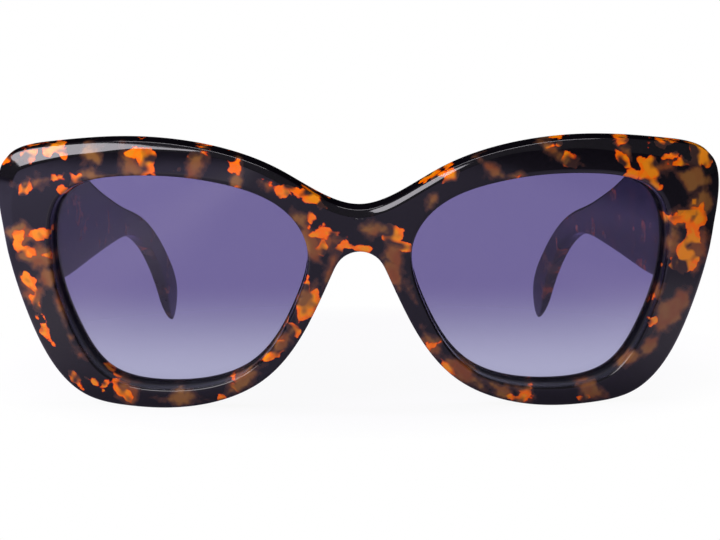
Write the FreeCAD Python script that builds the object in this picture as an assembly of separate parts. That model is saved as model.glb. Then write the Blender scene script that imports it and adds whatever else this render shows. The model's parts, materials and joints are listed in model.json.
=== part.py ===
"""Cat eye sunglasses: a thick acetate front, two gradient lenses and two folding temples.

Millimetres, +Z up. The front faces -Y and the temples run back along +Y. The glasses stand open on a
table, on their two lower rims and their two temple tips. The origin is on the table, at the middle of
the overall box. Right and left are the wearer's, so left is at +X.

The front is drawn upright, with x across, y back and z up from the middle of the bridge, and is then
leant forwards. Everything else is drawn where it stands. Only the left side is drawn; the right side
is its mirror image.
"""
import FreeCAD
import Part
import math
import os

V = FreeCAD.Vector

# ---- Front sheet -------------------------------------------------------------------------------
FRONT_LEAN = 8.0  # degrees, top forwards
FRONT_THICKNESS = 6.5
FACE_RADIUS = 165.0  # bow of the front surface, across and up
BRIDGE_RADIUS = 180.0  # shallow hollow of the bridge, across
BRIDGE_HALF = 9.0  # the hollow ends here, beside the lenses
BOW_ANGLE = 13.0  # the sheet reaches this far up and down about its bow's centre, degrees
OVERRUN_COUNT = 4  # outline points mirrored past the middle
EDGE_NEAR = 0.02  # an edge this close to a curve follows it
STEEP = 0.7  # an edge steeper than this runs across a sheet, not along it

# Outer outline of the left half, (x, z): bridge, brow, corner, side, lower rim, nose
OUTLINE = [
    (0.0, 13.2), (15.7, 20.2), (23.8, 23.6), (44.5, 26.6), (61.6, 25.1), (71.4, 21.6), (72.3, 8.6),
    (67.7, -9.3), (55.8, -26.8), (47.4, -28.5), (37.5, -28.5), (20.2, -22.6), (5.5, 0.3), (3.7, 3.3),
    (0.0, 4.8),
]
# Lens opening of the left rim, (x, z)
OPENING = [
    (10.7, 6.2), (13.6, 11.6), (28.1, 18.4), (44.7, 19.5), (60.0, 14.0), (61.8, 6.4), (57.5, -12.8),
    (51.6, -21.4), (39.4, -24.2), (22.0, -19.5), (12.9, -5.9),
]
OPENING_EASE = 0.6  # softened front edge of the opening
BACK_EASE = 0.7  # softened back edge of the outline

# Bevel round the front edge, (place along OUTLINE from 0 to 1, width on the face). It is broad at
# the brow corner, where it ends in a short scallop, and fine elsewhere
BEVEL = [
    (0.0, 1.3), (0.08, 1.1), (0.16, 0.6), (0.25, 0.6), (0.31, 1.3), (0.36, 3.1), (0.40, 3.4),
    (0.435, 2.9), (0.455, 0.5), (0.60, 0.5), (0.80, 0.5), (1.0, 0.5),
]
BEVEL_SLOPE = 0.45  # depth of the bevel over its width
BEVEL_ROOM = 0.45  # how far the cutter passes the bevel's two edges
BEVEL_STEPS = 13

# ---- Lenses ------------------------------------------------------------------------------------
LENS_SET_BACK = 2.7  # front of the lens behind the front face
LENS_THICKNESS = 2.0
GROOVE_DEPTH = 0.8  # how far the lens enters the rim
LENS_PLAY = 0.04

# ---- Nose pads, bonded on behind the bridge ---------------------------------------------------
PAD_CENTRE = (11.6, -8.2)  # x, z
PAD_LENGTH = 13.6
PAD_WIDTH = 4.2
PAD_TURN = 60.0  # degrees from level, lower end outwards
PAD_HEIGHT = 5.2  # behind the back of the front
PAD_SPLAY = 9.0  # degrees, turned about its own length towards the nose
PAD_ROOT = 0.9  # drawn this deep into the front, then cut to its back
PAD_EASE = 1.0

# ---- End piece and hinge -----------------------------------------------------------------------
END_THICKNESS = 8.0  # front to seat, at the outer end of the front, level with the hinge
SEAT_WIDTH = 10.2  # from the seat's inner step to the end of the front
SEAT_FOOT = 13.0  # from the hinge centre down to the seat's lower step
SEAT_HEAD = 11.0  # from the hinge centre up, just past the top of the temple
SEAT_ROUND = 1.6
HINGE_RISE = 9.9  # hinge centre above the middle of the bridge, on the front
BUTT_GAP = 0.1  # temple end to seat
KNUCKLE_RADIUS = 1.5
KNUCKLE_HEIGHT = 2.6
KNUCKLE_COUNT = 3
KNUCKLE_GAP = 0.05
SWING_GAP = 0.15  # round the knuckles
SCREW_RADIUS = 0.7
SCREW_PLAY = 0.04
SCREW_HEAD_RADIUS = 1.1
SCREW_HEAD_HEIGHT = 0.7
SCREW_SLOT = (0.35, 0.3)  # width, depth
LEAF_THICKNESS = 1.2
LEAF_PLAY = 0.03
FRONT_LEAF_WIDTH = 5.4
LEAF_MARGIN = 0.3  # the front leaf reaches this far inside the knuckles
TEMPLE_LEAF_LENGTH = 9.0
ANCHOR_DEPTH = 2.2
ANCHOR_BAR = (3.7, 1.2)  # width, height
ANCHOR_PEG = 0.9
ANCHOR_SPACING = 2.2  # bar to peg

# ---- Temples -----------------------------------------------------------------------------------
TEMPLE_THICKNESS = 4.0
TEMPLE_INSET = 1.6  # outer face of the temple inside the end of the front
TEMPLE_TAPER = 7.5  # degrees, the temples close in towards the ears
EAR_BEND_START = 75.6  # behind the temple's front end
EAR_BEND_RADIUS = 250.0  # inward bend behind the ears
TEMPLE_EASE = 0.8  # softened long edges
# Cross sections of the temple: (distance behind its front end, height of its middle, width). Heights
# in the plank are from the hinge centre, and those by the ear are from the table. The first section
# stands in front of the temple's end, which is cut to meet the seat
PLANK = [
    (-4.0, 0.8, 18.6), (10.6, -2.8, 24.8), (23.6, -4.2, 26.1), (38.0, -5.3, 22.8), (54.6, -7.2, 16.1),
]
EAR = [
    (70.0, 31.4, 10.7), (84.0, 30.0, 6.9), (95.6, 28.0, 5.6), (106.0, 23.6, 5.8), (118.0, 13.4, 7.1),
    (122.2, 8.2, 8.0),
]
TIP_LENGTH = 9.9  # half an oval past the last section
TIP_TURNS = (36, 62, 83)  # degrees round the half oval, where it has a section

# ---- Wire core in each temple ------------------------------------------------------------------
CORE_WIDTH = 2.4
CORE_THICKNESS = 1.1
CORE_PLAY = 0.02
# Middle of the wire: (distance behind the temple's front end, height), with heights as above
CORE_PLANK = [(-4.0, 2.6), (54.0, -7.4)]
CORE_EAR = [(72.0, 31.2), (84.0, 30.0), (95.0, 28.0), (106.5, 23.2), (116.5, 14.5)]

ORIGIN = V(0, 0, 0)
ACROSS = V(1, 0, 0)
BACK = V(0, 1, 0)
UP = V(0, 0, 1)


# ---- Curves and bands --------------------------------------------------------------------------
def spline(points, closed=False):
    """A smooth curve through points."""
    curve = Part.BSplineCurve()
    curve.interpolate(Points=points, PeriodicFlag=closed)
    return curve


def spans(curve):
    """The curve as a run of smooth edges, one for each stretch between its points."""
    return [piece.toShape() for piece in curve.toBezier()]


def upright(points, y=0.0):
    """(x, z) pairs as points of the upright plane at depth y."""
    return [V(x, y, z) for x, z in points]


def prism(edges, direction):
    return Part.Face(Part.Wire(edges)).extrude(direction)


def grown(points, distance):
    """The closed outline through (x, z) points, moved outwards by distance."""
    curve = spline(upright(points), closed=True)
    inside = sum((V(x, 0, z) for x, z in points), V()) * (1.0 / len(points))
    moved = []
    for x, z in points:
        at = curve.parameter(V(x, 0, z))
        outwards = curve.tangent(at)[0].cross(BACK)
        if outwards.dot(V(x, 0, z) - inside) < 0:
            outwards = outwards * -1
        outwards.normalize()
        moved.append((x + outwards.x * distance, z + outwards.z * distance))
    return moved


def face_arcs():
    """The joint and centre of the front surface's side arc, in plan."""
    turn = math.asin(BRIDGE_HALF / BRIDGE_RADIUS)
    joint = V(BRIDGE_HALF, -BRIDGE_RADIUS * (1 - math.cos(turn)), 0)
    centre = joint + V(math.sin(turn), math.cos(turn), 0) * FACE_RADIUS
    return joint, centre


def sheet_half():
    """Half the width of the sheet before the front is sawn out of it."""
    return 1.1 * max(x for x, z in OUTLINE)


def plan_depth(x):
    """How far back the front surface lies at x, level with the bridge."""
    x = abs(x)
    centre = face_arcs()[1]
    if x < BRIDGE_HALF:
        return math.sqrt(BRIDGE_RADIUS**2 - x * x) - BRIDGE_RADIUS
    return centre.y - math.sqrt(FACE_RADIUS**2 - (x - centre.x) ** 2)


def face_depth(x, z):
    """How far back the front surface lies at (x, z)."""
    bow = face_arcs()[1].y
    return bow - math.sqrt((bow - plan_depth(x)) ** 2 - z * z)


def behind_face(depth):
    """A block whose front is the front surface, moved back: a ball over each eye, a hollow between."""
    joint, centre = face_arcs()
    reach = sheet_half()
    end = V(reach, plan_depth(reach), 0)
    half = reach / 2
    side = Part.Arc(joint, V(half, plan_depth(half), 0), end).toShape()
    middle = Part.Arc(V(-joint.x, joint.y, 0), ORIGIN, joint).toShape()
    corners = [end, end + BACK * 4 * FRONT_THICKNESS]
    corners += [V(-corner.x, corner.y, 0) for corner in reversed(corners)]
    section = Part.Face(Part.Wire([side.mirror(ORIGIN, ACROSS), middle, side, Part.makePolygon(corners)]))
    bow = BACK * centre.y
    section.rotate(bow, ACROSS, -BOW_ANGLE)
    return section.revolve(bow, ACROSS, 2 * BOW_ANGLE).translated(BACK * depth)


def bowed_sheet(front, back):
    """A sheet that follows the front surface, between two depths behind it."""
    return behind_face(front).cut(behind_face(back))


# ---- Front -------------------------------------------------------------------------------------
def half_outline():
    """The left half of the front's outline, drawn past the middle and cut there, so it is level."""
    before = [(-x, z) for x, z in OUTLINE[OVERRUN_COUNT:0:-1]]
    after = [(-x, z) for x, z in OUTLINE[-2 : -2 - OVERRUN_COUNT : -1]]
    curve = spline(upright(before + OUTLINE + after))
    top, bottom = (V(x, 0, z) for x, z in (OUTLINE[0], OUTLINE[-1]))
    curve.segment(curve.parameter(top), curve.parameter(bottom))
    return curve


def bevel_width(share):
    """Width of the front bevel at a share of the half outline, eased between the stations."""
    for (start, width), (end, next_width) in zip(BEVEL, BEVEL[1:]):
        if share <= end:
            along = (share - start) / (end - start)
            return width + (next_width - width) * along * along * (3 - 2 * along)
    return BEVEL[-1][1]


def edge_cutter(curve, steps, width_at, slope):
    """What a bevel takes off the front: all that lies before a ruled band along the curve.

    width_at gives the bevel's width on the face at a share of the curve's length, and slope its
    depth over its width. The material is on the right of the curve, seen from the front.
    """
    points = curve.toShape().discretize(Number=steps + 1)
    on_face, on_wall = [], []
    for count, point in enumerate(points):
        width = width_at(count / steps)
        inwards = BACK.cross(curve.tangent(curve.parameter(point))[0])
        inwards.normalize()
        edge = point + inwards * width
        upper = V(edge.x, face_depth(edge.x, edge.z), edge.z)
        lower = V(point.x, face_depth(point.x, point.z) + width * slope, point.z)
        run = upper - lower
        run.normalize()
        on_face.append(upper + run * BEVEL_ROOM)
        on_wall.append(lower - run * BEVEL_ROOM)
    edges = [Part.Wire(spans(spline(side))) for side in (on_face, on_wall)]
    band = Part.makeLoft(edges, False, True)
    return band.extrude(BACK * -2 * FRONT_THICKNESS)


def edges_along(shape, curve, through):
    """The edges of a shape that follow a flat curve, seen in the direction through its plane."""
    line = curve.toShape()
    found = []
    for edge in shape.Edges:
        middle = edge.valueAt((edge.FirstParameter + edge.LastParameter) / 2)
        along = edge.tangentAt(edge.FirstParameter)
        seen = middle - through * middle.dot(through)
        if line.distToShape(Part.Vertex(seen))[0] < EDGE_NEAR and abs(along.dot(through)) < STEEP:
            found.append(edge)
    return found


def rim_edges(shape, curve, depth):
    """The edges of a shape that follow an upright curve, this far behind the front surface."""
    found = []
    for edge in edges_along(shape, curve, BACK):
        middle = edge.valueAt((edge.FirstParameter + edge.LastParameter) / 2)
        if abs(middle.y - face_depth(middle.x, middle.z) - depth) < EDGE_NEAR:
            found.append(edge)
    return found


def upright_prism(curve, closing=None):
    """What an outline covers, right through the sheet."""
    block = prism(spans(curve) + (closing or []), BACK * 8 * FRONT_THICKNESS)
    return block.translated(BACK * -3 * FRONT_THICKNESS)


def lens(play=0.0):
    """The left lens, bowed like the front, whose edge enters the rim's groove."""
    edge = spline(upright(grown(OPENING, GROOVE_DEPTH + play)), closed=True)
    sheet = bowed_sheet(LENS_SET_BACK - play, LENS_SET_BACK + LENS_THICKNESS + play)
    return sheet.common(upright_prism(edge)).Solids[0]


def pad():
    """The left nose pad: a slot-shaped stub, drawn into the front and cut to its back."""
    run = (PAD_LENGTH - PAD_WIDTH) / 2
    radius = PAD_WIDTH / 2
    edges = []
    arc = [V(run, 0, radius), V(run + radius, 0, 0), V(run, 0, -radius)]
    for way in (1, -1):
        start, end, finish = (point * way for point in arc)
        edges.append(Part.Arc(start, end, finish).toShape())
        edges.append(Part.makeLine(finish, V(-run, 0, -radius) * way))
    x, z = PAD_CENTRE
    height = PAD_ROOT + PAD_HEIGHT
    stub = prism(edges, BACK * height)
    top = [edge for edge in stub.Edges if edge.CenterOfMass.y > height - EDGE_NEAR]
    stub = stub.makeChamfer(PAD_EASE, top)
    stub.rotate(ORIGIN, ACROSS, PAD_SPLAY)
    stub.rotate(ORIGIN, BACK, PAD_TURN)
    return stub.translated(V(x, face_depth(x, z) + FRONT_THICKNESS - PAD_ROOT, z))


def box(low, high):
    size = V(*high) - V(*low)
    return Part.makeBox(size.x, size.y, size.z, V(*low))


def leant(item):
    """A point or a shape drawn with the upright front, leant with it."""
    if isinstance(item, V):
        return FreeCAD.Rotation(ACROSS, FRONT_LEAN).multVec(item)
    return item.rotated(ORIGIN, ACROSS, FRONT_LEAN)


FRONT_END = half_outline().toShape().optimalBoundingBox(False).XMax
SEAT_Y = leant(V(FRONT_END, face_depth(FRONT_END, HINGE_RISE), HINGE_RISE)).y + END_THICKNESS
SEAT_INNER = FRONT_END - SEAT_WIDTH
LEAN = math.radians(FRONT_LEAN)
HINGE_LEVEL = HINGE_RISE / math.cos(LEAN) + SEAT_Y * math.tan(LEAN)  # where HINGE_RISE meets the seat


def seat_zone():
    """Where the end piece is built out or cut back to its flat seat, upright."""
    low = V(SEAT_INNER, FRONT_THICKNESS / 2, HINGE_RISE - SEAT_FOOT)
    high = V(sheet_half(), 6 * FRONT_THICKNESS, HINGE_RISE + SEAT_HEAD)
    zone = box(low, high)
    corners = [edge for edge in zone.Edges if any(near_line(edge, low.x, z) for z in (low.z, high.z))]
    return zone.makeFillet(SEAT_ROUND, corners)


def near_line(edge, x, z):
    """Whether an edge runs back at this x and z."""
    middle = edge.CenterOfMass
    return abs(middle.x - x) < EDGE_NEAR and abs(middle.z - z) < EDGE_NEAR


def half_front():
    """The left half of the front: sawn out, bevelled, opened, leant and given its seat."""
    outline = half_outline()
    middle = Part.makeLine(outline.EndPoint, outline.StartPoint)
    whole = upright_prism(outline, [middle])
    half = bowed_sheet(0.0, FRONT_THICKNESS).common(whole)
    half = half.cut(edge_cutter(outline, BEVEL_STEPS, bevel_width, BEVEL_SLOPE))
    opening = spline(upright(OPENING), closed=True)
    half = half.cut(upright_prism(opening)).Solids[0]
    half = half.makeChamfer(BACK_EASE, rim_edges(half, outline, FRONT_THICKNESS))
    half = half.makeChamfer(OPENING_EASE, rim_edges(half, opening, 0.0))
    half = half.cut(lens(LENS_PLAY))
    zone = seat_zone()
    heel = zone.common(whole).common(behind_face(FRONT_THICKNESS / 2))
    behind_seat = leant(zone).common(
        box((0, SEAT_Y, -2 * FRONT_END), (2 * FRONT_END, 2 * FRONT_END, 2 * FRONT_END))
    )
    return leant(half.fuse(heel)).cut(behind_seat).Solids[0]


# ---- Hinge -------------------------------------------------------------------------------------
def cylinder(radius, height, foot):
    return Part.makeCylinder(radius, height, foot, UP)


def fused(shapes):
    return shapes[0].multiFuse(shapes[1:]).removeSplitter().Solids[0]


TAPER = math.radians(TEMPLE_TAPER)
BUTT_Y = SEAT_Y + BUTT_GAP
TEMPLE_INNER = FRONT_END - TEMPLE_INSET - TEMPLE_THICKNESS  # at the temple's front end
PIN_Y = BUTT_Y + KNUCKLE_RADIUS
# The temple's inner face clears the knuckles, whose axis stands behind the end of that face
PIN_FROM_FACE = (KNUCKLE_RADIUS + SWING_GAP + KNUCKLE_RADIUS * math.sin(TAPER)) / math.cos(TAPER)
PIN_X = TEMPLE_INNER - PIN_FROM_FACE
KNUCKLE_PITCH = KNUCKLE_HEIGHT + KNUCKLE_GAP
HINGE_HEIGHT = KNUCKLE_COUNT * KNUCKLE_HEIGHT + (KNUCKLE_COUNT - 1) * KNUCKLE_GAP


def hinge_foot(hinge_z):
    """The bottom of the lowest knuckle, on the pin's axis."""
    return V(PIN_X, PIN_Y, hinge_z - HINGE_HEIGHT / 2)


def knuckles(hinge_z, first, web_low, web_high):
    """Every second knuckle from first, each with a web between two corners given from its axis."""
    parts = []
    for count in range(first, KNUCKLE_COUNT, 2):
        foot = hinge_foot(hinge_z) + UP * (count * KNUCKLE_PITCH)
        parts.append(cylinder(KNUCKLE_RADIUS, KNUCKLE_HEIGHT, foot))
        parts.append(
            box(foot + V(*web_low, 0), foot + V(*web_high, KNUCKLE_HEIGHT))
        )
    return parts


def pin_bore(hinge_z):
    """The hole down the knuckles, with the seat for the screw's head in the top one."""
    foot = hinge_foot(hinge_z)
    hole = cylinder(SCREW_RADIUS + SCREW_PLAY, HINGE_HEIGHT, foot)
    head_foot = foot + UP * (HINGE_HEIGHT - SCREW_HEAD_HEIGHT)
    return hole.fuse(cylinder(SCREW_HEAD_RADIUS + SCREW_PLAY, SCREW_HEAD_HEIGHT, head_foot))


def front_leaf(hinge_z, play=0.0):
    """The plate let into the seat, with the anchors that hold it in the acetate."""
    left = PIN_X - KNUCKLE_RADIUS - LEAF_MARGIN
    middle = left + FRONT_LEAF_WIDTH / 2
    half = HINGE_HEIGHT / 2
    low = V(left, SEAT_Y - LEAF_THICKNESS, hinge_z - half)
    high = V(left + FRONT_LEAF_WIDTH, SEAT_Y, hinge_z + half)
    parts = [grown_box(low, high, play)]
    for width, height, rise in (
        (*ANCHOR_BAR, -ANCHOR_SPACING / 2),
        (ANCHOR_PEG, ANCHOR_PEG, ANCHOR_SPACING / 2),
    ):
        reach = low.y - ANCHOR_DEPTH
        anchor_low = V(middle - width / 2, reach, hinge_z + rise - height / 2)
        anchor_high = V(middle + width / 2, SEAT_Y, hinge_z + rise + height / 2)
        parts.append(grown_box(anchor_low, anchor_high, play))
    return parts


def grown_box(low, high, play):
    spread = V(play, play, play)
    return box(low - spread, high + spread)


def front_hinge(hinge_z):
    """The half of the hinge on the front: leaf, anchors and the odd knuckles."""
    webs = knuckles(hinge_z, 0, (-KNUCKLE_RADIUS, SEAT_Y - PIN_Y), (KNUCKLE_RADIUS, 0))
    return fused(front_leaf(hinge_z) + webs).cut(pin_bore(hinge_z)).Solids[0]


def tapered(shape):
    """A shape drawn straight back from the temple's inner front corner, turned to the taper."""
    corner = V(TEMPLE_INNER, BUTT_Y, 0)
    return shape.translated(corner).rotated(corner, UP, TEMPLE_TAPER)


def temple_leaf(hinge_z, play=0.0):
    """The plate let into the temple's inner face."""
    half = HINGE_HEIGHT / 2
    low = V(0, 0, hinge_z - half)
    high = V(LEAF_THICKNESS, TEMPLE_LEAF_LENGTH, hinge_z + half)
    return tapered(grown_box(low, high, play))


def temple_webs(hinge_z, play=0.0):
    """The even knuckles, whose webs run into the temple's leaf."""
    reach = TEMPLE_INNER + LEAF_THICKNESS / 2 - PIN_X + play
    side = KNUCKLE_RADIUS + play
    return knuckles(hinge_z, 1, (0, -side), (reach, side))


def temple_hinge(hinge_z):
    """The half of the hinge on the temple."""
    return fused([temple_leaf(hinge_z)] + temple_webs(hinge_z)).cut(pin_bore(hinge_z)).Solids[0]


def screw(hinge_z):
    """The hinge screw, dropped in from above, with a slotted head."""
    foot = hinge_foot(hinge_z)
    head_foot = foot + UP * (HINGE_HEIGHT - SCREW_HEAD_HEIGHT)
    width, depth = SCREW_SLOT
    top = head_foot + UP * SCREW_HEAD_HEIGHT
    slot = box(
        top - V(2 * SCREW_HEAD_RADIUS, width / 2, depth),
        top + V(2 * SCREW_HEAD_RADIUS, width / 2, depth),
    )
    shank = cylinder(SCREW_RADIUS, HINGE_HEIGHT, foot)
    return fused([shank, cylinder(SCREW_HEAD_RADIUS, SCREW_HEAD_HEIGHT, head_foot)]).cut(slot).Solids[0]


# ---- Temples -----------------------------------------------------------------------------------
def bent(point):
    """A point of the side view, taken to the middle of the temple's thickness round the bend.

    Gives the point, and the way across the thickness there.
    """
    radius = EAR_BEND_RADIUS + TEMPLE_THICKNESS / 2
    turn = math.asin(max(0.0, point.y - EAR_BEND_START) / radius)
    across = V(math.cos(turn), math.sin(turn), 0)
    return V(across.x * radius - EAR_BEND_RADIUS, point.y, point.z), across


def side_view(plank, ear, hinge_z):
    """Points of the side view, from heights about the hinge and heights above the table."""
    return [V(0, back, hinge_z + rise) for back, rise in plank] + [V(0, back, rise) for back, rise in ear]


def temple_stations(hinge_z):
    """Middles and widths of the temple's sections, and the share of its thickness that each keeps.

    The tip is a half oval in the side view and again in its thickness.
    """
    middles = side_view([place[:2] for place in PLANK], [place[:2] for place in EAR], hinge_z)
    stations = [(middle, place[2], 1.0) for middle, place in zip(middles, PLANK + EAR)]
    end, width, kept = stations[-1]
    along = end - stations[-2][0]
    along.normalize()
    for turn in (math.radians(angle) for angle in TIP_TURNS):
        point = end + along * TIP_LENGTH * math.sin(turn)
        stations.append((point, width * math.cos(turn), math.cos(turn)))
    return stations


def strip(stations, section, ruled=False):
    """A strip lofted through sections that stand square to the line of their middles.

    section gives the corners of one quarter of the ring for a width, outermost in thickness first. Where
    a station keeps only a share of the thickness, the rest is taken off the inner side.
    """
    line = spline([station[0] for station in stations])
    outer = TEMPLE_THICKNESS / 2
    rings = []
    for point, width, kept in stations:
        tangent = line.tangent(line.parameter(point))[0]
        middle, across = bent(point)
        along = V(-tangent.y * across.y / across.x, tangent.y, tangent.z)
        up = across.cross(along.normalize())
        quarter = section(width)
        ring = quarter + [(-side, rise) for side, rise in reversed(quarter)]
        ring += [(-side, -rise) for side, rise in ring]
        ring = [(outer - (outer - side) * kept, rise) for side, rise in ring]
        ring = [middle + across * side + up * rise for side, rise in ring]
        rings.append(Part.makePolygon(ring + ring[:1]))
    return Part.makeLoft(rings, True, ruled).Solids[0]


def eased_quarter(width):
    """A quarter of the temple's section, whose corners are cut off, and less so at the tip's end."""
    side, rise = TEMPLE_THICKNESS / 2, width / 2
    return [(side, rise - min(TEMPLE_EASE, 0.8 * rise)), (side - TEMPLE_EASE, rise)]


def temple(hinge_z):
    """The left temple, eased along its edges and round its tip."""
    return tapered(strip(temple_stations(hinge_z), eased_quarter))


def core(hinge_z, play=0.0):
    """The flat wire core in the middle of the temple's thickness, open at its front end."""
    stations = [(point, CORE_WIDTH, 1.0) for point in side_view(CORE_PLANK, CORE_EAR, hinge_z)]
    corner = (CORE_THICKNESS / 2 + play, CORE_WIDTH / 2 + play)
    return tapered(strip(stations, lambda width: [corner], True))


# ---- Assembly ----------------------------------------------------------------------------------
def lowest(shape):
    return shape.optimalBoundingBox(False).ZMin


def both_sides(name, shape):
    """The left piece, and the right one as its mirror image."""
    return {name + "_left": shape, name + "_right": shape.mirror(ORIGIN, ACROSS)}


def assembly():
    """All pieces where they stand on the table, by name, and the left hinge's place."""
    half = half_front()
    lift = UP * -lowest(half)
    half.translate(lift)
    hinge_z = HINGE_LEVEL + lift.z

    half_leafed = half.cut(front_leaf(hinge_z, LEAF_PLAY))
    whole = half_leafed.fuse(half_leafed.mirror(ORIGIN, ACROSS)).removeSplitter()
    blank = temple(hinge_z)
    butt = box(V(0, -FRONT_END, 0), V(2 * FRONT_END, BUTT_Y, 2 * FRONT_END))
    wire = core(hinge_z).cut(butt).Solids[0]
    blank = blank.cut([butt, core(hinge_z, CORE_PLAY), temple_leaf(hinge_z, LEAF_PLAY)])
    blank = blank.cut(temple_webs(hinge_z, LEAF_PLAY)).Solids[0]

    pieces = {"front": whole.Solids[0]}
    pieces.update(both_sides("lens", leant(lens()).translated(lift)))
    pieces.update(both_sides("nose_pad", leant(pad()).translated(lift).cut(half).Solids[0]))
    pieces.update(both_sides("front_hinge", front_hinge(hinge_z)))
    pieces.update(both_sides("temple_hinge", temple_hinge(hinge_z)))
    pieces.update(both_sides("hinge_screw", screw(hinge_z)))
    pieces.update(both_sides("temple", blank))
    pieces.update(both_sides("temple_core", wire))
    return pieces, V(PIN_X, PIN_Y, hinge_z)


def main():
    os.makedirs("parts", exist_ok=True)
    pieces, pin = assembly()
    whole = Part.Compound(list(pieces.values())).optimalBoundingBox(False)
    to_origin = BACK * -whole.Center.y
    for name, shape in pieces.items():
        shape.translated(to_origin).exportStep(f"parts/{name}.step")
    pin = pin + to_origin
    print(f"size {whole.XLength:.2f} x {whole.YLength:.2f} x {whole.ZLength:.2f}")
    print(f"left hinge pin at x {pin.x:.3f}, y {pin.y:.3f}, z {pin.z:.3f}")


main()
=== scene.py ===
"""Cat eye sunglasses, dressed: polished tortoiseshell acetate, graduated lenses and plated hinges.

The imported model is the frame. Each new piece is a surface worked out from a few driving sizes, set down
where the frame's own pieces stand. Sizes are millimetres in the functions and metres in the meshes. The
front is drawn upright, with x across, y back and z up from the middle of the bridge, and then leant.
"""
import json
import math

import bmesh
import bpy
import numpy as np
from mathutils import Matrix, Vector


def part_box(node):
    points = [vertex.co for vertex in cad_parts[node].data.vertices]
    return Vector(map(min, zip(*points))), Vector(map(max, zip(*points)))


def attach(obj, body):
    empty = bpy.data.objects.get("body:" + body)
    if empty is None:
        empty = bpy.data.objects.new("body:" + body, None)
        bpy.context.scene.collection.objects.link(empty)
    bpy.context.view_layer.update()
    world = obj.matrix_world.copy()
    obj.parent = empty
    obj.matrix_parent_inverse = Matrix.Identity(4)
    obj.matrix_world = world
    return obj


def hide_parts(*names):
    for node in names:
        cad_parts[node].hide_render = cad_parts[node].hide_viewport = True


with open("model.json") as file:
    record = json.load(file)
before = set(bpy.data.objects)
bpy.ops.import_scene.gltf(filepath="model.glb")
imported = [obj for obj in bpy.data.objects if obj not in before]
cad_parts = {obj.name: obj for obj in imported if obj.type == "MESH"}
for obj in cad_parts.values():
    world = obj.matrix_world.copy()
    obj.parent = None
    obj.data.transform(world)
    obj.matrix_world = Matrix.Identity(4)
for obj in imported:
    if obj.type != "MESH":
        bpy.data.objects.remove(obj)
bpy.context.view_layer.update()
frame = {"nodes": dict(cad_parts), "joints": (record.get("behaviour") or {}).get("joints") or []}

bl_info = {
    "name": "Cat Eye Sunglasses",
    "version": (1, 0, 0),
    "blender": (4, 5, 0),
    "location": "3D View > Sidebar > Sunglasses",
    "description": "Builds the visible pieces of a pair of cat eye sunglasses round their frame",
    "category": "Add Mesh",
}

SIDES = ("left", "right")
MM = 0.001
MERGE = 0.000004  # points nearer than this are one point, metres

# ---- Driving sizes, as the frame was built
LEAN = math.radians(8.0)
THICKNESS = 6.5
FACE_RADIUS = 165.0
BRIDGE_RADIUS = 180.0
BRIDGE_HALF = 9.0
OUTLINE = [
    (0.0, 13.2), (15.7, 20.2), (23.8, 23.6), (44.5, 26.6), (61.6, 25.1), (71.4, 21.6), (72.3, 8.6),
    (67.7, -9.3), (55.8, -26.8), (47.4, -28.5), (37.5, -28.5), (20.2, -22.6), (5.5, 0.3), (3.7, 3.3),
    (0.0, 4.8),
]
OPENING = [
    (10.7, 6.2), (13.6, 11.6), (28.1, 18.4), (44.7, 19.5), (60.0, 14.0), (61.8, 6.4), (57.5, -12.8),
    (51.6, -21.4), (39.4, -24.2), (22.0, -19.5), (12.9, -5.9),
]
EYE_CENTRE = np.array([32.0, 9.0])  # every ray from here meets the outline once
BEVEL = [
    (0.0, 1.3), (0.08, 1.1), (0.16, 0.7), (0.22, 1.3), (0.29, 2.2), (0.36, 3.1), (0.40, 3.4),
    (0.435, 2.7), (0.47, 0.5), (0.60, 0.5), (0.80, 0.5), (1.0, 0.5),
]
BEVEL_SLOPE = 0.45
OPENING_EASE = 0.75
BACK_EASE = 0.7

LENS_SET_BACK = 2.7
LENS_THICKNESS = 2.0
GROOVE_DEPTH = 0.8

PAD_CENTRE = (11.1, -8.5)
PAD_LENGTH = 12.4
PAD_WIDTH = 3.2
PAD_TURN = math.radians(60.0)
PAD_SPLAY = math.radians(9.0)
PAD_HEIGHT = 3.8
PAD_ROOT = 0.9
PAD_DOME = 1.7

END_THICKNESS = 8.0
SEAT_WIDTH = 10.2
SEAT_FOOT = 13.0
SEAT_HEAD = 11.0
SEAT_ROUND = 1.6
SEAT_BLEND = 0.7  # the step up to the seat is this wide
HINGE_RISE = 9.9
KNUCKLE_RADIUS = 1.5
SWING_GAP = 0.15
LEAF_PROUD = 0.02  # the hinge leaves stand this far out of the acetate

TEMPLE_THICKNESS = 4.0
TEMPLE_TAPER = math.radians(7.5)
EAR_BEND_START = 75.6
EAR_BEND_RADIUS = 250.0
TEMPLE_EASE = 0.8
TEMPLE_EASE_SHARE = 0.8  # at most, of half the temple's width
PLANK = [
    (-4.0, 0.8, 18.6), (10.6, -2.8, 24.8), (23.6, -4.2, 26.1), (38.0, -5.3, 22.8), (54.6, -7.2, 16.1),
]
EAR = [
    (70.0, 31.4, 10.7), (84.0, 30.0, 6.9), (95.6, 28.0, 5.6), (106.0, 23.6, 5.8), (118.0, 13.4, 7.1),
    (122.2, 8.2, 8.0),
]
TIP_LENGTH = 9.9

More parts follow.
